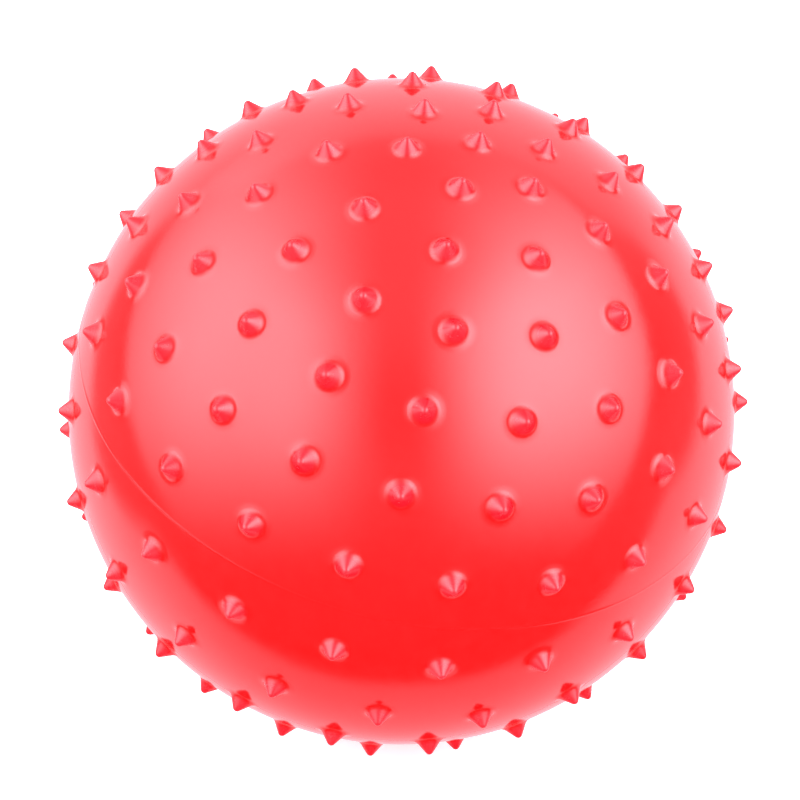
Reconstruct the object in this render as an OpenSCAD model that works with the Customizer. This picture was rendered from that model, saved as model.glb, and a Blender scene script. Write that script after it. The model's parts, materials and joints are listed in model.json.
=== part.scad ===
// Inflatable knobby play ball: a one-piece moulded vinyl skin covered in rows of
// rounded nubs, an air valve seat fused into it, and a push-in valve stopper.
//
// Frame: the ball's centre is the origin. +Z is up when the ball rests on three
// nubs, and the valve faces +Y. All sizes are millimetres and degrees.

/* [Ball] */
// Diameter of the body, measured between the nubs
ball_d = 200; // [160:1:260]
// Thickness of the vinyl skin
skin_t = 1.2; // [0.8:0.1:2.5]
// Lean of the mould axis away from +Z in the rest pose
axis_lean = 31.6; // [25:0.1:40]
// Turn of the leaning mould axis about +Z
axis_turn = 23; // [10:0.5:30]

/* [Nubs] */
// Height of a nub above the body
nub_h = 4; // [3.4:0.1:5]
// Radius of a nub where its steep side starts
nub_r = 3; // [2.6:0.1:3.4]
// Radius of the flared foot where it meets the body
foot_r = 4.9; // [4.5:0.1:5.6]
// Height of the flared foot
foot_h = 0.9; // [0.7:0.1:1.1]
// Radius of the rounded tip
tip_r = 1.3; // [0.9:0.1:1.5]

/* [Rows of nubs] */
// Angle from a pole to the first row round it
row_step = 11.25; // [11:0.05:11.5]
// Extra angle that each upper row gains towards the parting line
upper_gain = 0.14; // [0.1:0.01:0.16]
// Extra angle that each lower row gains towards the parting line
lower_gain = 0.26; // [0.22:0.01:0.28]

/* [Parting line] */
// Angle of the parting line above the widest circle
seam_lat = 9.5; // [9:0.5:10]
// Width of the raised parting line
seam_w = 0.8; // [0.4:0.1:1.5]
// Height of the raised parting line
seam_h = 0.15; // [0.1:0.05:0.4]

/* [Valve] */
// Radius of the hole that the valve seat fills
seat_r = 9; // [8.5:0.1:10]
// Radius of the seat's flange inside the skin
flange_r = 12; // [11:0.1:14]
// Thickness of the flange
flange_t = 1.4; // [1:0.1:2]
// Radius of the neck that points into the ball
neck_r = 6; // [5.5:0.1:7]
// How far the neck reaches below the ball's surface
neck_l = 15; // [13:0.5:20]
// Radius of the bore that the stopper plugs
bore_r = 3.6; // [3:0.1:4]
// Radius of the recess that takes the stopper's head
recess_r = 7.2; // [6.8:0.1:7.6]
// Depth of the recess below the ball's surface
recess_depth = 2.2; // [2:0.1:2.6]

/* [Stopper] */
// Radius of the stopper's head
head_r = 6.6; // [5.5:0.1:6.7]
// Thickness of the stopper's head
head_t = 1.6; // [1.2:0.1:1.8]
// Length of the stem below the head
stem_l = 11; // [9:0.5:12]
// Radial clearance of the stem in the bore
stem_gap = 0.05; // [0.03:0.01:0.08]
// Depth of the grooves between the stem's ribs
groove_depth = 0.5; // [0.3:0.1:0.8]

/* [Hidden] */

ball_r = ball_d / 2;
inner_r = ball_r - skin_t;

// Nubs in each row, from a pole to the parting line, and how far each row is turned
upper_counts = [1, 6, 10, 15, 18, 21, 22];
upper_turns = [0, -4, -13.5, 6.5, 3.5, 3, -7.5];
lower_counts = [1, 6, 10, 15, 18, 20, 21, 22];
lower_turns = [0, 0, 18, -6, 13.5, 9.5, -8, -6];
upper_rows = len(upper_counts);
all_rows = upper_rows + len(lower_counts);

// Each nub starts below the body's surface, and its foot has a thin edge above it
nub_sink = 1;
foot_edge = 0.08;
foot_sag = ball_r - sqrt(ball_r * ball_r - foot_r * foot_r);

// The rounded tip is an arc between these two angles, with a small flat on top
tip_steps = 3;
tip_low = 38;
tip_high = 75;

// No nub stands nearer to the valve than this angle
valve_clear = 11;

// The parting line's ridge starts inside the skin, and its top is half as wide as its foot
seam_sink = 0.4;

// The stopper's head rests this far above the recess floor
head_rest = 0.1;
seat_floor = ball_r - recess_depth;
head_chamfer = 0.5;
stem_r = bore_r - stem_gap;
rib_count = 3;
rib_pitch = 2.6;
groove_w = 1.2;
taper_l = 2;
taper_in = 1.1;

// Radius of the fingernail nick in the recess's edge
nick_r = 2.2;

// How far a cut runs on past what it cuts
cut_over = 1;

// Facets round a full circle, on large curves and on the nubs
sharp = 96;
small = 32;

function row_angle(k, gain) = row_step * k + gain * k * k;

// Cosine of the angle between the valve and a nub at this angle and turn on the mould axis
function toward_valve(angle, turn) =
    sin(angle) * cos(turn) * sin(axis_turn)
    + (sin(angle) * sin(turn) * cos(axis_lean) - cos(angle) * sin(axis_lean)) * cos(axis_turn);

function tip_arc() = [
    for (i = [0:tip_steps])
        let (a = tip_low + (tip_high - tip_low) * i / tip_steps)
        [tip_r * cos(a), nub_h + tip_r * (sin(a) - sin(tip_high))]
];

module along_valve() {
    rotate([-90, 0, 0])
        children();
}

module along_mould_axis() {
    rotate([0, 0, axis_turn])
        rotate([axis_lean, 0, 0])
            children();
}

module nub() {
    rotate_extrude($fn = small)
        polygon(concat(
            [[0, -nub_sink], [foot_r, -nub_sink], [foot_r, foot_edge - foot_sag], [nub_r, foot_h]],
            tip_arc(),
            [[0, nub_h]]
        ));
}

module row_of_nubs(count, first_turn, angle) {
    for (i = [0:count - 1])
        let (turn = first_turn + 360 * i / count)
            if (toward_valve(angle, turn) < cos(valve_clear))
                rotate([0, angle, turn])
                    translate([0, 0, ball_r])
                        nub();
}

// Row k counts down from the upper pole, through the parting line, to the lower pole
module nub_row(k) {
    if (k < upper_rows)
        row_of_nubs(upper_counts[k], upper_turns[k], row_angle(k, upper_gain));
    else
        let (j = all_rows - 1 - k)
            row_of_nubs(lower_counts[j], lower_turns[j], 180 - row_angle(j, lower_gain));
}

// The solid ball with its first rows of nubs, one row on top of the last
module nubby_ball(rows) {
    union() {
        if (rows == 0)
            sphere(r = ball_r, $fn = sharp);
        else
            nubby_ball(rows - 1);
        if (rows > 0)
            nub_row(rows - 1);
    }
}

module parting_line() {
    rotate_extrude($fn = 2 * sharp)
        rotate([0, 0, seam_lat])
            translate([ball_r, 0])
                polygon([
                    [-seam_sink, -seam_w / 2],
                    [seam_h, -seam_w / 4],
                    [seam_h, seam_w / 4],
                    [-seam_sink, seam_w / 2]
                ]);
}

module ball_skin() {
    color("red")
        difference() {
            along_mould_axis()
                union() {
                    nubby_ball(all_rows);
                    parting_line();
                }
            sphere(r = inner_r, $fn = sharp);
            along_valve()
                translate([0, 0, inner_r - flange_r])
                    cylinder(r = seat_r, h = 2 * flange_r, $fn = sharp);
        }
}

module valve_seat() {
    color("firebrick")
        difference() {
            union() {
                intersection() {
                    sphere(r = ball_r, $fn = sharp);
                    along_valve()
                        translate([0, 0, seat_floor - flange_t])
                            cylinder(r = seat_r, h = flange_r, $fn = sharp);
                }
                difference() {
                    intersection() {
                        sphere(r = inner_r, $fn = sharp);
                        along_valve()
                            translate([0, 0, seat_floor - flange_r])
                                cylinder(r = flange_r, h = 2 * flange_r, $fn = sharp);
                    }
                    sphere(r = inner_r - flange_t, $fn = sharp);
                }
                along_valve()
                    translate([0, 0, ball_r - neck_l])
                        cylinder(r = neck_r, h = neck_l - recess_depth, $fn = sharp);
            }
            along_valve() {
                translate([0, 0, seat_floor])
                    cylinder(r = recess_r, h = flange_r, $fn = sharp);
                translate([0, 0, ball_r - neck_l - cut_over])
                    cylinder(r = bore_r, h = neck_l + cut_over, $fn = sharp);
                translate([recess_r, 0, ball_r])
                    sphere(r = nick_r, $fn = sharp);
            }
        }
}

// The outline of the head from its flat top to the stem, on the +X side
function head_side() = [
    [0, head_t],
    [head_r - head_chamfer, head_t],
    [head_r, head_t - head_chamfer],
    [head_r, 0],
    [stem_r, 0]
];

// The outline of the stem from its grooved top to its tapered end, on the +X side
function stem_side() = concat(
    [for (i = [0:rib_count - 1]) each let (z = -taper_l / 2 - i * rib_pitch) [
        [stem_r, z],
        [stem_r - groove_depth, z - groove_w / 4],
        [stem_r - groove_depth, z - 3 * groove_w / 4],
        [stem_r, z - groove_w]
    ]],
    [[stem_r, taper_l - stem_l], [stem_r - taper_in, -stem_l], [0, -stem_l]]
);

module valve_plug() {
    color("white")
        along_valve()
            translate([0, 0, seat_floor + head_rest])
                rotate_extrude($fn = sharp)
                    polygon(concat(head_side(), stem_side()));
}

ball_skin();
valve_seat();
valve_plug();
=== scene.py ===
import json
from math import acos, asin, cos, pi, radians, sin, sqrt

import bpy
import numpy as np
from mathutils import Matrix, Vector
from mathutils.geometry import delaunay_2d_cdt


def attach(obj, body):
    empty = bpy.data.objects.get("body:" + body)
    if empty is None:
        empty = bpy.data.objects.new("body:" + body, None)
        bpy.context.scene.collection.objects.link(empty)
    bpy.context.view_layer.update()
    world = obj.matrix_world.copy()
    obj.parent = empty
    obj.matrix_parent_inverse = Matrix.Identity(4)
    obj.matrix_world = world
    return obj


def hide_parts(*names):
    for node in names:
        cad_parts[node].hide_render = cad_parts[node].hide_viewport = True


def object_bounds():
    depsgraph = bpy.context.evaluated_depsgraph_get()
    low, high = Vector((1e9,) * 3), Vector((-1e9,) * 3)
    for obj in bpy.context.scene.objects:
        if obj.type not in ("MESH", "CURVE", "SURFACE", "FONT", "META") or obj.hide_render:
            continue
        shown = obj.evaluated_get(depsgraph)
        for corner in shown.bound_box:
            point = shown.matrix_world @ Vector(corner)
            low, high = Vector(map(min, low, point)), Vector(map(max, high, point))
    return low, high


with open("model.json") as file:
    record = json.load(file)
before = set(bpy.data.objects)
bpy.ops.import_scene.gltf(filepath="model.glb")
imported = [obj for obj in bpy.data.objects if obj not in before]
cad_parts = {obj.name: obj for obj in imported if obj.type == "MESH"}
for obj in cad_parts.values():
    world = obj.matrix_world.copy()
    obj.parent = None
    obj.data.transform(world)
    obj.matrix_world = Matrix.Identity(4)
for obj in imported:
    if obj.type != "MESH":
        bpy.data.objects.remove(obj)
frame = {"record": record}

# An inflatable knobby play ball of soft red vinyl, standing on three of its nubs.
# Lengths in this file are millimetres until an object is made, and the ball's centre is
# the origin. "The valve axis" is +Y, and "the mould axis" leans away from +Z.

CAD_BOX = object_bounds()
MM = 0.001

# ------------------------------------------------------------------ the ball's sizes
# The valve's mount is a point of the body's surface, on the valve axis
BALL_R = frame["record"]["mounts"][0]["pos_m"][1] / MM
SKIN_T = 1.2
AXIS_LEAN = 31.6
AXIS_TURN = 23

# Rows of nubs from each pole of the mould axis: nubs in a row, and the row's turn
UPPER_ROWS = [(1, 0), (6, -4), (10, -13.5), (15, 6.5), (18, 3.5), (21, 3), (22, -7.5)]
LOWER_ROWS = [(1, 0), (6, 0), (10, 18), (15, -6), (18, 13.5), (20, 9.5), (21, -8), (22, -6)]
ROW_STEP = 11.25
UPPER_GAIN = 0.14
LOWER_GAIN = 0.26
VALVE_CLEAR = 11

# A nub: a rounded tip, a straight flank and a hollow foot fillet that ends just above the body
NUB_H = 4
TIP_R = 1.25
FLANK = radians(38)
FOOT_FILLET = 2.4
FILLET_END = radians(78)
FOOT_EDGE = 0.04
# How far out from the foot's edge the rings lie that join a nub to the body
SKIRT = [0.25, 1.1, 2.5]

# The parting line, a low ridge on a circle above the widest one
SEAM_LAT = 9.5
SEAM_H = 0.07
# (distance from the ridge's middle, share of its height) of the rows of points on each side
SEAM_SIDE = [(0.8, 0), (0.45, 0), (0.22, 0.5)]

# The hole for the valve, and (distance out from its edge, height) of the rings of its raised rim
HOLE_R = 9
RIM = [(0.03, -0.4), (0.06, -0.2), (0.2, -0.04), (0.45, 0.06), (0.9, 0.1), (1.5, 0.04), (2.2, 0)]

# The valve seat
SEAT_GAP = 0.03
FLANGE_R = 12
FLANGE_T = 1.4
NECK_R = 6
NECK_L = 15
BORE_R = 3.6
RECESS_R = 7.2
RECESS_DEPTH = 2.2
NICK_R = 2.2

# The stopper: a head with a raised edge and a small pip, and a grooved stem with a tapered end
HEAD_REST = 0.1
HEAD_R = 6.6
HEAD_T = 1.6
HEAD_DISH = 0.25
EDGE_W = 1.3
EDGE_SLOPE = 0.3
PIP_R = 0.5
PIP_SLOPE = 0.2
PIP_DROP = 0.05
STEM_R = 3.55
STEM_L = 11
GROOVES = 3
FIRST_GROOVE = 1
GROOVE_PITCH = 2.6
GROOVE_W = 1.2
GROOVE_DEPTH = 0.5
GROOVE_SLOPE = 0.35
TAPER_L = 2
TAPER_IN = 1.1

# The slow unevenness of the blown skin
WAVES = 14
WAVE_SEED = 7
WAVE_LENGTHS = (24, 60)
WAVE_HEIGHT = 0.012

# ------------------------------------------------------------------ how fine the meshes are
NUB_SIDES = 28
NUB_ARC = 6
RIM_SIDES = 64
GRAIN = 2.4
SEAM_STEP = 1.2
INNER_RINGS = 40
LATHE_SIDES = 96
FILLET_STEPS = 4
NICK_SIDES = 48
ON_AXIS = 1e-6
SAME_POINT = 1e-9

# ------------------------------------------------------------------ the studio
FLOOR_R = 6000
FLOOR_SIDES = 128
ELEVATION = radians(13.5)
CAMERA_DISTANCE = 550
SENSOR = 36
LENS = 81.12
NEAREST_SEEN = 10
AIM_UP = 3.34
AIM_SIDE = -0.46

WHITE = (1, 1, 1)
ROOM_TINT = (0.98, 0.98, 1.1)
BACKDROP = 1.2
LEFT_DIFFUSER = 5.3
RIGHT_DIFFUSER = 7
BACK_WALL = 0.98
FRONT_WALL = 0.24
CEILING = 0.5


# ------------------------------------------------------------------ directions on the ball
def mould_axes():
    """Turns a direction given round the mould axis into the ball's frame."""
    return Matrix.Rotation(radians(AXIS_TURN), 3, "Z") @ Matrix.Rotation(radians(AXIS_LEAN), 3, "X")


def valve_axes():
    """The same for a direction given round the valve axis."""
    return np.array([[1, 0, 0], [0, 0, 1], [0, -1, 0]], float)


def round_axis(angle, turn):
    return Vector((sin(angle) * cos(turn), sin(angle) * sin(turn), cos(angle)))


def row_angle(k, gain):
    """A row's angle from its pole. The rows lie further apart towards the widest circle."""
    return radians(ROW_STEP * k + gain * k * k)


def nub_frames():
    """One matrix per nub, with its columns across, along and out of the ball."""
    rows = [(n, t, row_angle(k, UPPER_GAIN)) for k, (n, t) in enumerate(UPPER_ROWS)]
    rows += [(n, t, pi - row_angle(k, LOWER_GAIN)) for k, (n, t) in enumerate(LOWER_ROWS)]
    frames = []
    for count, first_turn, angle in rows:
        for i in range(count):
            turn = radians(first_turn + 360 * i / count)
            out = mould_axes() @ round_axis(angle, turn)
            if out.y < cos(radians(VALVE_CLEAR)):
                along = mould_axes() @ round_axis(angle + pi / 2, turn)
                frames.append(np.array(Matrix((along, out.cross(along), out)).transposed()))
    return frames


def even_turns(count):
    """This many angles, evenly round a full turn."""
    return np.linspace(0, 2 * pi, count, endpoint=False)


# ------------------------------------------------------------------ the skin's outer surface
def nub_profile():
    """(radius, height above the body) of each ring round a nub, from near the tip outwards."""
    tip_centre = NUB_H - TIP_R
    rings = [
        (TIP_R * cos(a), tip_centre + TIP_R * sin(a))
        for a in np.linspace(pi / 2, FLANK, NUB_ARC)[1:]
    ]
    # The fillet's centre is above the body, where the flank's line and the body both touch it
    flank_r, flank_z = rings[-1]
    low_z = FOOT_FILLET - FOOT_FILLET * sin(FLANK)
    low_r = flank_r + (flank_z - low_z) * np.tan(FLANK)
    foot_r = low_r + FOOT_FILLET * cos(FLANK)
    for t in (1 / 3, 2 / 3):
        rings.append((flank_r + t * (low_r - flank_r), flank_z + t * (low_z - flank_z)))
    for a in np.linspace(FLANK, FILLET_END, NUB_ARC):
        rings.append((foot_r - FOOT_FILLET * cos(a), FOOT_FILLET * (1 - sin(a))))
    rings.append((foot_r, FOOT_EDGE))
    return rings + [(foot_r + out, 0) for out in SKIRT]


def nub_points(frame_of_nub, rings):
    """The tip first, then ring after ring, each lying on the ball at its own height."""
    turn = even_turns(NUB_SIDES)
    points = [[[0, 0, BALL_R + NUB_H]]]
    for r, z in rings:
        height = np.full(NUB_SIDES, sqrt(BALL_R**2 - r * r) + z)
        points.append(np.stack([r * np.cos(turn), r * np.sin(turn), height], 1))
    return np.concatenate(points) @ frame_of_nub.T


def nub_faces(first, ring_count):
    faces = []
    for i in range(NUB_SIDES):
        j = (i + 1) % NUB_SIDES
        faces.append((first, first + 1 + i, first + 1 + j))
        for k in range(ring_count - 1):
            inner = first + 1 + k * NUB_SIDES
            outer = inner + NUB_SIDES
            faces.append((inner + i, outer + i, outer + j, inner + j))
    return faces


def ring_points(axes, angle, height, count):
    """A ring of points at this angle from the axes' pole, at this height above the body."""
    turn = even_turns(count)
    along = np.full(count, cos(angle))
    ring = np.stack([sin(angle) * np.cos(turn), sin(angle) * np.sin(turn), along], 1)
    return (BALL_R + height) * ring @ axes.T


def strip_faces(first, rows, count, flip=False):
    """Quads between rings of the same number of points, made one after another."""
    faces = []
    for k in range(rows - 1):
        a = first + k * count
        b = a + count
        for i in range(count):
            j = (i + 1) % count
            quad = (a + i, b + i, b + j, a + j)
            faces.append(quad[::-1] if flip else quad)
    return faces


def rim_rings():
    """(radius, height) of the rings round the valve, from the edge of the hole outwards."""
    return [(HOLE_R + out, height) for out, height in RIM]


def seam_rows():
    """(distance from the middle of the parting line, height) of each row of points along it."""
    above = [(far, share * SEAM_H) for far, share in SEAM_SIDE]
    below = [(-far, height) for far, height in above]
    return below + [(0, SEAM_H)] + above[::-1]


def open_points(nubs, nub_reach, rim_reach):
    """Even points on the rest of the ball, clear of the nubs, the parting line and the valve."""
    # A spiral that turns by the golden angle, with a point to each equilateral cell of side GRAIN
    count = int(4 * pi * BALL_R**2 / (GRAIN**2 * sqrt(3) / 2))
    i = np.arange(count) + 0.5
    y = 1 - 2 * i / count
    turn = i * pi * (3 - sqrt(5))
    across = np.sqrt(1 - y * y)
    points = np.stack([across * np.cos(turn), y, across * np.sin(turn)], 1)

    clear = GRAIN / 2
    keep = points[:, 1] < cos((rim_reach + clear) / BALL_R)
    mould_pole = np.array(mould_axes() @ Vector((0, 0, 1)))
    from_seam = BALL_R * (np.arcsin(points @ mould_pole) - radians(SEAM_LAT))
    keep &= np.abs(from_seam) > seam_rows()[-1][0] + clear
    for nub in nubs:
        keep &= points @ nub[:, 2] < cos((nub_reach + clear) / BALL_R)
    return BALL_R * points[keep]


def flat_map(points):
    """Stereographic map from the valve's side: circles stay round, and the rim is the outer edge."""
    unit = points / np.linalg.norm(points, axis=1)[:, None]
    return unit[:, [0, 2]] / (1 - unit[:, 1])[:, None]


def waviness(points):
    """How far each point of the blown skin stands out, as a sum of a few fixed waves."""
    rng = np.random.default_rng(WAVE_SEED)
    total = np.zeros(len(points))
    for _ in range(WAVES):
        wave = rng.normal(size=3)
        wave *= 2 * pi / rng.uniform(*WAVE_LENGTHS) / np.linalg.norm(wave)
        total += np.sin(points @ wave + rng.uniform(0, 2 * pi))
    return WAVE_HEIGHT * total


class Patches:
    """Patches of the skin, and the points on their borders between which the rest is filled in."""

    def __init__(self):
        self.blocks = []
        self.faces = []
        self.border = []
        self.label = []
        self.total = 0

    def add(self, block):
        """Adds a block of points, and returns the number of the first one."""
        self.blocks.append(block)
        first = self.total
        self.total += len(block)
        return first

    def mark(self, first, count, label):
        """Puts these points on a border. Points with the same label need no faces between them."""
        self.border += range(first, first + count)
        self.label += [label] * count

    def fill(self):
        """Triangles over everything that the patches leave open."""
        outer = np.concatenate(self.blocks)
        border = np.array(self.border)
        label = np.array(self.label)
        flat = [Vector(p) for p in flat_map(outer[border]).tolist()]
        made = delaunay_2d_cdt(flat, [], [], 0, SAME_POINT, True)
        source = np.array([ids[0] for ids in made[3]])
        tris = source[np.array(made[2])]
        a, b, c = label[tris].T
        inside_patch = (a == b) & (b == c) & (a >= 0)
        self.faces += [tuple(t) for t in outward(outer, border[tris[~inside_patch]]).tolist()]
        return outer


def outward(points, tris):
    """The triangles with their corners in the order that faces them away from the centre."""
    a, b, c = (points[tris[:, k]] for k in range(3))
    inward = (np.cross(b - a, c - a) * (a + b + c)).sum(1) < 0
    tris = tris.copy()
    tris[inward] = tris[inward][:, ::-1]
    return tris


def add_nubs(skin, nubs, rings):
    for n, nub in enumerate(nubs):
        first = skin.add(nub_points(nub, rings))
        skin.faces += nub_faces(first, len(rings))
        skin.mark(first + 1 + (len(rings) - 1) * NUB_SIDES, NUB_SIDES, n)


def add_parting_line(skin, label):
    mould = np.array(mould_axes())
    rows = seam_rows()
    around = int(2 * pi * BALL_R * cos(radians(SEAM_LAT)) / SEAM_STEP)
    first = skin.total
    for offset, height in rows:
        skin.add(ring_points(mould, pi / 2 - radians(SEAM_LAT) - offset / BALL_R, height, around))
    skin.faces += strip_faces(first, len(rows), around, flip=True)
    skin.mark(first, around, label)
    skin.mark(first + (len(rows) - 1) * around, around, label)


def add_rim(skin, rim, label):
    """The rings round the valve's hole. Returns the first point of the innermost one."""
    first = skin.total
    for r, height in rim:
        skin.add(ring_points(valve_axes(), asin(r / BALL_R), height, RIM_SIDES))
    skin.faces += strip_faces(first, len(rim), RIM_SIDES)
    skin.mark(first + (len(rim) - 1) * RIM_SIDES, RIM_SIDES, label)
    return first


def add_inside(skin, rim_first):
    """The inside, a plain globe round the valve axis, joined to the rim of the hole."""
    inner_r = BALL_R - SKIN_T
    first = skin.total
    for angle in np.linspace(asin(HOLE_R / inner_r), pi, INNER_RINGS, endpoint=False):
        skin.add(ring_points(valve_axes(), angle, -SKIN_T, RIM_SIDES))
    skin.faces += strip_faces(first, INNER_RINGS, RIM_SIDES, flip=True)
    pole = skin.add([[0, -inner_r, 0]])
    last = pole - RIM_SIDES
    for i in range(RIM_SIDES):
        j = (i + 1) % RIM_SIDES
        skin.faces.append((rim_first + j, first + j, first + i, rim_first + i))
        skin.faces.append((pole, last + i, last + j))


def skin_mesh():
    nubs = nub_frames()
    rings = nub_profile()
    rim = rim_rings()
    skin = Patches()
    add_nubs(skin, nubs, rings)
    add_parting_line(skin, len(nubs))
    rim_first = add_rim(skin, rim, len(nubs) + 1)
    loose = open_points(nubs, rings[-1][0], rim[-1][0])
    skin.mark(skin.add(loose), len(loose), -1)
    outer = skin.fill()
    outer *= (1 + waviness(outer) / BALL_R)[:, None]
    skin.blocks = [outer]
    add_inside(skin, rim_first)
    return np.concatenate(skin.blocks), skin.faces


# ------------------------------------------------------------------ round pieces on the valve axis
def fillet_arc(before, here, after, fillet):
    """The points of an arc that rounds the corner here, between the points before and after it."""
    before = before - here
    after = after - here
    before /= np.linalg.norm(before)
    after /= np.linalg.norm(after)
    half = acos(np.clip(before @ after, -1, 1)) / 2
    middle = before + after
    middle /= np.linalg.norm(middle)
    centre = here + middle * fillet / sin(half)
    start = here + before * fillet / np.tan(half) - centre
    end = here + after * fillet / np.tan(half) - centre
    sweep = acos(np.clip(start @ end / fillet**2, -1, 1))
    arc = []
    for t in np.linspace(0, 1, FILLET_STEPS + 1):
        weights = sin((1 - t) * sweep), sin(t * sweep)
        arc.append(centre + (weights[0] * start + weights[1] * end) / sin(sweep))
    return arc


def rounded(corners):
    """(radius, height) points of the outline through these corners of (radius, height, fillet)."""
    spots = np.array([corner[:2] for corner in corners], float)
    out = []
    for k, (_, _, fillet) in enumerate(corners):
        if fillet == 0:
            out.append(spots[k])
        else:
            out += fillet_arc(spots[k - 1], spots[k], spots[(k + 1) % len(corners)], fillet)
    return out


def lathe(outline):
    """Spins a closed or axis-to-axis outline of (radius, height) points round the valve axis."""
    points = []
    firsts = []
    for r, z in outline:
        firsts.append(len(points))
        if r < ON_AXIS:
            points.append((0, z, 0))
        else:
            points += [(r * cos(t), z, -r * sin(t)) for t in even_turns(LATHE_SIDES)]
    rings = list(zip(firsts, outline))
    if outline[0][0] >= ON_AXIS:
        rings.append(rings[0])
    faces = []
    for (a, (a_r, _)), (b, (b_r, _)) in zip(rings, rings[1:]):
        for i in range(LATHE_SIDES):
            j = (i + 1) % LATHE_SIDES
            if a_r < ON_AXIS:
                faces.append((a, b + i, b + j))
            elif b_r < ON_AXIS:
                faces.append((a + j, a + i, b))
            else:
                faces.append((a + i, b + i, b + j, a + j))
    return np.array(points, float), faces


def height_on(globe_r, r):
    """How high a globe's surface is, at this distance from its axis."""
    return sqrt(globe_r**2 - r * r)


def seat_outline():
    """Round the seat's section: up outside the neck, over the flange and recess, down the bore."""
    floor = BALL_R - RECESS_DEPTH
    inner = BALL_R - SKIN_T
    under = inner - FLANGE_T
    bush_r = HOLE_R - SEAT_GAP
    return rounded([
        (BORE_R, BALL_R - NECK_L, 0.4),
        (BORE_R, floor, 0.35),
        (RECESS_R, floor, 0.5),
        (RECESS_R, height_on(BALL_R, RECESS_R), 0.3),
        (bush_r, height_on(BALL_R, HOLE_R), 0.35),
        (bush_r, height_on(inner, HOLE_R), 0),
        (FLANGE_R, height_on(inner, FLANGE_R), 0.3),
        (FLANGE_R, height_on(under, FLANGE_R), 0.3),
        (NECK_R, height_on(under, NECK_R), 0.8),
        (NECK_R, BALL_R - NECK_L, 0.5),
    ][::-1])


def groove_corners(top):
    """One groove round the stem, from its top down."""
    deep_r = STEM_R - GROOVE_DEPTH
    return [
        (STEM_R, top, 0.15),
        (deep_r, top - GROOVE_SLOPE, 0.12),
        (deep_r, top - GROOVE_W + GROOVE_SLOPE, 0.12),
        (STEM_R, top - GROOVE_W, 0.15),
    ]


def stopper_outline():
    """From the middle of the head, over its raised edge, down the stem to its tapered end."""
    floor = BALL_R - RECESS_DEPTH + HEAD_REST
    top = floor + HEAD_T
    dish = top - HEAD_DISH
    end = floor - STEM_L
    corners = [
        (0, top - PIP_DROP, 0),
        (PIP_R, top - PIP_DROP, 0.1),
        (PIP_R + PIP_SLOPE, dish, 0.1),
        (HEAD_R - EDGE_W - EDGE_SLOPE, dish, 0.3),
        (HEAD_R - EDGE_W, top, 0.2),
        (HEAD_R, top, 0.45),
        (HEAD_R, floor, 0.25),
        (STEM_R, floor, 0),
    ]
    for i in range(GROOVES):
        corners += groove_corners(floor - FIRST_GROOVE - GROOVE_PITCH * i)
    corners += [(STEM_R, end + TAPER_L, 0.4), (STEM_R - TAPER_IN, end, 0.35), (0, end, 0)]
    return rounded(corners)


# ------------------------------------------------------------------ making objects
def make_object(name, points, faces, material, sharp_angle=None):
    mesh = bpy.data.meshes.new(name)
    mesh.from_pydata((points * MM).tolist(), [], faces)
    mesh.validate()
    mesh.update()
    mesh.shade_smooth()
    if sharp_angle:
        mesh.set_sharp_from_angle(angle=radians(sharp_angle))
    mesh.materials.append(material)
    obj = bpy.data.objects.new(name, mesh)
    bpy.context.scene.collection.objects.link(obj)
    return obj


def cut_with_ball(obj, centre, radius):
    """Takes a ball out of obj for good."""
    bpy.ops.mesh.primitive_uv_sphere_add(
        segments=NICK_SIDES,
        ring_count=NICK_SIDES // 2,
        radius=radius * MM,
        location=Vector(centre) * MM,
    )
    cutter = bpy.context.object
    cut = obj.modifiers.new("cut", "BOOLEAN")
    cut.object = cutter
    cut.operation = "DIFFERENCE"
    cut.solver = "EXACT"
    bpy.context.view_layer.update()
    mesh = bpy.data.meshes.new_from_object(obj.evaluated_get(bpy.context.evaluated_depsgraph_get()))
    obj.modifiers.clear()
    obj.data = mesh
    bpy.data.objects.remove(cutter)


def finish_piece(obj, body, node):
    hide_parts(node)
    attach(obj, body)


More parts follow.
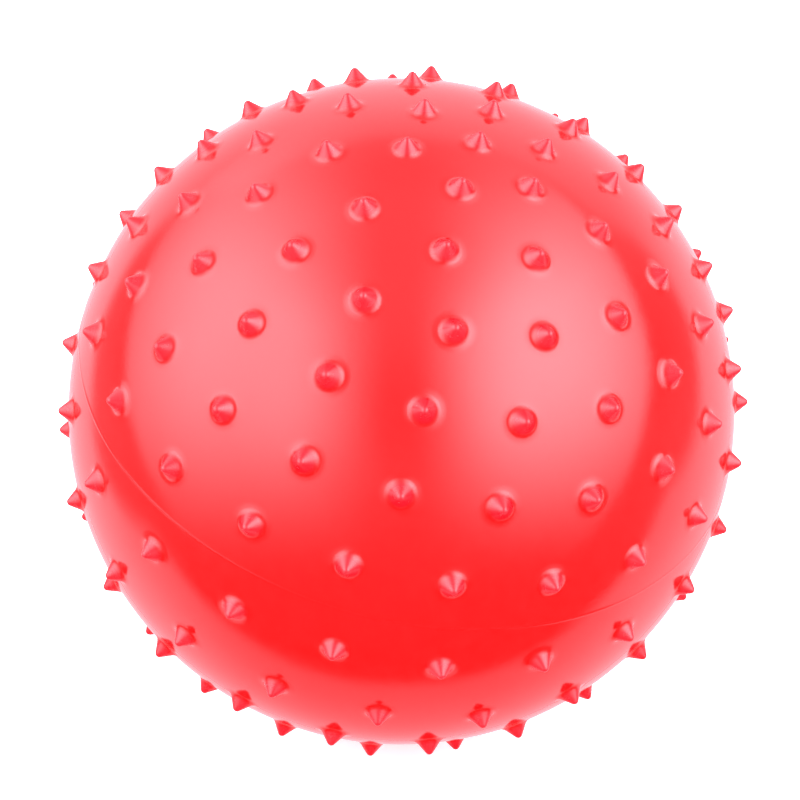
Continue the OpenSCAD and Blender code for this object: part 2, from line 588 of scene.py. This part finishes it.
# ------------------------------------------------------------------ materials
class Nodes:
    """A material's node tree, with short calls to add and link nodes."""

    def __init__(self, name):
        self.material = bpy.data.materials.new(name)
        self.material.use_nodes = True
        self.tree = self.material.node_tree
        self.shader = self.tree.nodes["Principled BSDF"]
        self.place = self.tree.nodes.new("ShaderNodeTexCoord").outputs["Object"]

    def set(self, name, value):
        """Gives one of the shader's sockets a number, a colour or another node's output."""
        self.feed(self.shader.inputs[name], value)

    def feed(self, socket, value):
        """Gives a socket a number, a colour or another node's output."""
        if isinstance(value, bpy.types.NodeSocket):
            self.link(value, socket)
        elif isinstance(value, (int, float)):
            socket.default_value = value
        else:
            socket.default_value = (*value, 1)

    def link(self, out, into):
        self.tree.links.new(out, into)

    def math(self, operation, *values):
        node = self.tree.nodes.new("ShaderNodeMath")
        node.operation = operation
        for socket, value in zip(node.inputs, values):
            self.feed(socket, value)
        return node.outputs[0]

    def noise(self, size_mm, detail=3.0):
        """Noise whose features are about size_mm across."""
        node = self.tree.nodes.new("ShaderNodeTexNoise")
        node.inputs["Scale"].default_value = 1 / (size_mm * MM)
        node.inputs["Detail"].default_value = detail
        self.link(self.place, node.inputs["Vector"])
        return node.outputs["Fac"]

    def spread(self, value, low, high, start=0.3, end=0.7):
        """Spreads the values from start to end over those from low to high."""
        node = self.tree.nodes.new("ShaderNodeMapRange")
        ends = {"From Min": start, "From Max": end, "To Min": low, "To Max": high}
        for key, number in ends.items():
            node.inputs[key].default_value = number
        self.link(value, node.inputs["Value"])
        return node.outputs["Result"]

    def height_above(self, radius):
        """0 up to 0.2 mm above a globe of this radius, and 1 from 1.5 mm above it."""
        node = self.tree.nodes.new("ShaderNodeVectorMath")
        node.operation = "LENGTH"
        self.link(self.place, node.inputs[0])
        return self.spread(node.outputs["Value"], 0, 1, (radius + 0.2) * MM, (radius + 1.5) * MM)

    def mix(self, value, low, high):
        """The colour low where value is 0, and high where it is 1."""
        node = self.tree.nodes.new("ShaderNodeMix")
        node.data_type = "RGBA"
        self.feed(node.inputs[0], value)
        # The node's colours are its inputs 6 and 7, and its colour result is output 2
        self.feed(node.inputs[6], low)
        self.feed(node.inputs[7], high)
        return node.outputs[2]

    def bump(self, height, depth_mm, normal=None):
        node = self.tree.nodes.new("ShaderNodeBump")
        node.inputs["Distance"].default_value = depth_mm * MM
        self.link(height, node.inputs["Height"])
        if normal:
            self.link(normal, node.inputs["Normal"])
        return node.outputs["Normal"]


def soft_vinyl(name, body, nubs, gloss, peel_mm):
    """Pigmented soft vinyl: glossy and faintly mottled, with the mould's fine orange peel.

    Above the body, on the nubs, it has the colour nubs and is rougher. On the ball that colour is a
    darker copy of the body's red: painted shade, which deepens the shaded sides of the nubs.
    """
    nodes = Nodes(name)
    height = nodes.height_above(BALL_R)
    mottle = nodes.mix(nodes.noise(14), [0.94 * c for c in body], body)
    # Over the nubs the base colour turns to the darker nubs red, painted shade for their shaded
    # sides
    nodes.set("Base Color", nodes.mix(height, mottle, nubs))
    uneven = nodes.spread(nodes.noise(3, 5), gloss, gloss + 0.05)
    nodes.set("Roughness", nodes.math("MULTIPLY_ADD", height, 0.15, uneven))
    nodes.set("IOR", 1.5)
    peel = nodes.bump(nodes.noise(peel_mm, 2), 0.012)
    nodes.set("Normal", nodes.bump(nodes.noise(0.35, 2), 0.0012, peel))
    return nodes.material


def natural_polyethylene(name):
    """Milky uncoloured polyethylene, satin, with fine scuffs."""
    nodes = Nodes(name)
    nodes.set("Base Color", nodes.mix(nodes.noise(5), (0.46, 0.452, 0.42), (0.5, 0.494, 0.47)))
    nodes.set("Roughness", nodes.spread(nodes.noise(0.8, 6), 0.34, 0.5))
    nodes.set("Subsurface Weight", 0.25)
    nodes.shader.inputs["Subsurface Radius"].default_value = (1, 0.9, 0.7)
    nodes.set("Subsurface Scale", 1.5 * MM)
    nodes.set("Normal", nodes.bump(nodes.noise(0.6, 4), 0.006))
    return nodes.material


def pale_floor(name):
    """Nearly white and dull, and it gives off some light of its own."""
    nodes = Nodes(name)
    nodes.set("Base Color", nodes.mix(nodes.noise(60), (0.86, 0.86, 0.86), (0.88, 0.88, 0.88)))
    nodes.set("Roughness", nodes.spread(nodes.noise(20), 0.7, 0.8))
    nodes.set("Specular IOR Level", 0.2)
    nodes.set("Emission Color", WHITE)
    nodes.set("Emission Strength", 0.6)
    return nodes.material


# ------------------------------------------------------------------ the pieces
def build_ball():
    # The second red, for the nubs, is darker than the body's: painted shade on the nubs
    red = soft_vinyl("vinyl_red", (0.8, 0.002, 0.002), (0.42, 0.002, 0.008), 0.09, 1.6)
    points, faces = skin_mesh()
    finish_piece(make_object("skin_moulded", points, faces, red), "ball", "ball_skin")


def build_valve_seat():
    red = soft_vinyl("vinyl_seat", (0.6, 0.004, 0.005), (0.5, 0.003, 0.004), 0.28, 0.9)
    points, faces = lathe(seat_outline())
    seat = make_object("valve_seat_soft", points, faces, red)
    cut_with_ball(seat, (RECESS_R, BALL_R, 0), NICK_R)
    seat.data.set_sharp_from_angle(angle=radians(40))
    finish_piece(seat, "ball", "valve_seat")


def build_stopper():
    points, faces = lathe(stopper_outline())
    stopper = make_object("stopper", points, faces, natural_polyethylene("polyethylene"), 50)
    finish_piece(stopper, "stopper", "valve_plug")


# ------------------------------------------------------------------ the studio
def build_floor(level):
    """A wide round floor at the height of the nubs that the ball stands on."""
    turn = even_turns(FLOOR_SIDES)
    height = np.full(FLOOR_SIDES, level)
    ring = np.stack([FLOOR_R * np.cos(turn), FLOOR_R * np.sin(turn), height], 1)
    floor = make_object("floor", ring, [tuple(range(FLOOR_SIDES))], pale_floor("floor_pale"))
    floor.visible_glossy = False


def build_camera():
    """In front of the ball, looking down on it a little."""
    out = Vector((0, -cos(ELEVATION), sin(ELEVATION)))
    up = Vector((0, sin(ELEVATION), cos(ELEVATION)))
    data = bpy.data.cameras.new("camera")
    data.sensor_width = SENSOR
    data.lens = LENS
    data.clip_start = NEAREST_SEEN * MM
    camera = bpy.data.objects.new("camera", data)
    bpy.context.scene.collection.objects.link(camera)
    camera.location = out * (CAMERA_DISTANCE * MM)
    aim = up * AIM_UP * MM + Vector((AIM_SIDE * MM, 0, 0))
    camera.rotation_euler = (aim - camera.location).to_track_quat("-Z", "Y").to_euler()
    bpy.context.scene.camera = camera


class Sky:
    """The room's light, as a brightness for each direction (x, y, z) from the ball."""

    def __init__(self):
        world = bpy.data.worlds.new("studio")
        bpy.context.scene.world = world
        world.use_nodes = True
        self.tree = world.node_tree
        self.background = self.tree.nodes["Background"]
        self.direction = self.tree.nodes.new("ShaderNodeTexCoord").outputs["Generated"]

    def math(self, operation, *values):
        node = self.tree.nodes.new("ShaderNodeMath")
        node.operation = operation
        for socket, value in zip(node.inputs, values):
            if isinstance(value, (int, float)):
                socket.default_value = value
            else:
                self.tree.links.new(value, socket)
        return node.outputs[0]

    def shine(self, strength, colour, backdrop):
        """Lights the scene with strength, while the camera itself sees an even white backdrop."""
        self.tree.links.new(strength, self.background.inputs["Strength"])
        self.background.inputs["Color"].default_value = (*colour, 1)
        white = self.tree.nodes.new("ShaderNodeBackground")
        white.inputs["Color"].default_value = (*WHITE, 1)
        white.inputs["Strength"].default_value = backdrop
        mix = self.tree.nodes.new("ShaderNodeMixShader")
        seen = self.tree.nodes.new("ShaderNodeLightPath").outputs["Is Camera Ray"]
        self.tree.links.new(seen, mix.inputs[0])
        self.tree.links.new(self.background.outputs[0], mix.inputs[1])
        self.tree.links.new(white.outputs[0], mix.inputs[2])
        self.tree.links.new(mix.outputs[0], self.tree.nodes["World Output"].inputs["Surface"])

    def along(self, direction):
        """How far a direction in the room goes along this one."""
        node = self.tree.nodes.new("ShaderNodeVectorMath")
        node.operation = "DOT_PRODUCT"
        self.tree.links.new(self.direction, node.inputs[0])
        node.inputs[1].default_value = direction
        return node.outputs["Value"]

    def along_camera(self, drop=0.0):
        """How far it goes the way that the camera looks, tilted down further by drop."""
        return self.along((0, cos(ELEVATION), -sin(ELEVATION) - drop))

    def step(self, value, start, end, low=0.0, high=1.0):
        """Smoothly from low, where value is at start, to high, where it is at end."""
        node = self.tree.nodes.new("ShaderNodeMapRange")
        node.interpolation_type = "SMOOTHSTEP"
        node.inputs["From Min"].default_value = start
        node.inputs["From Max"].default_value = end
        node.inputs["To Min"].default_value = low
        node.inputs["To Max"].default_value = high
        self.tree.links.new(value, node.inputs["Value"])
        return node.outputs["Result"]

    def times(self, *values):
        total = values[0]
        for value in values[1:]:
            total = self.math("MULTIPLY", total, value)
        return total


def diffusers(sky):
    """Two tall diffusers, left and right of the ball and in front of it, which fade downwards."""
    upwards = sky.along((0, 0, 1))
    behind = sky.along_camera()
    height = sky.times(sky.step(upwards, -0.69, 0.42), sky.step(upwards, 0.55, 0.95, 1, 0.5))

    left_edge = sky.step(sky.along((-1, 0, 0)), 0.05, 0.65)
    left_end = sky.step(sky.along_camera(0.5), 0.17, 0.29, 1, 0)
    left_end = sky.times(sky.step(behind, -0.4, 0.65, 1, 0), left_end)

    right_edge = sky.step(sky.along((1, 0, 0)), 0.04, 0.69)
    right_end = sky.step(sky.along_camera(0.3), -0.1, 0.02, 1, 0)
    right_end = sky.times(sky.step(behind, -0.67, 0.5, 1, 0), right_end)

    left = sky.times(LEFT_DIFFUSER, height, left_edge, left_end)
    right = sky.times(RIGHT_DIFFUSER, height, right_edge, right_end)
    return left, right


def back_wall(sky):
    """The lit backdrop behind the ball, narrower towards its top."""
    upwards = sky.along((0, 0, 1))
    behind = sky.along_camera()
    right_side = sky.step(sky.along((1, 0, 0.25)), 0.81, 0.91, 1, 0)
    left_side = sky.step(sky.along((-1, 0, 0.25)), 0.7, 0.82, 1, 0)
    sides = sky.times(right_side, left_side)
    ends = sky.times(sky.step(behind, 0.14, 0.3), sky.step(behind, 0.5, 0.95, 1, 0.65))
    height = sky.times(sky.step(upwards, -0.95, -0.6, 0.7, 1), sky.step(upwards, 0.1, 0.6, 1, 0.45))
    return sky.times(BACK_WALL, ends, sides, height)


def pale_room(sky):
    """The weak light from the room in front, from all its walls, and from its ceiling."""
    upwards = sky.along((0, 0, 1))
    behind = sky.along_camera()
    front = sky.times(FRONT_WALL, sky.step(behind, -0.4, 0, 1, 0), sky.step(upwards, -0.6, 0.2))
    walls = sky.step(upwards, -1, 0, 0.06, 0.44)
    ceiling = sky.times(CEILING, sky.step(upwards, 0.2, 0.8))
    return front, walls, ceiling


def build_light():
    """Two tall diffusers, a backdrop behind the ball, and a pale room."""
    sky = Sky()
    total = 0.0
    for part in (*diffusers(sky), back_wall(sky), *pale_room(sky)):
        total = sky.math("ADD", part, total)
    sky.shine(total, ROOM_TINT, BACKDROP)


def show_true_colours():
    bpy.context.scene.view_settings.view_transform = "Standard"


build_camera()
build_ball()
build_valve_seat()
build_stopper()
build_floor(CAD_BOX[0].z / MM)
build_light()
show_true_colours()
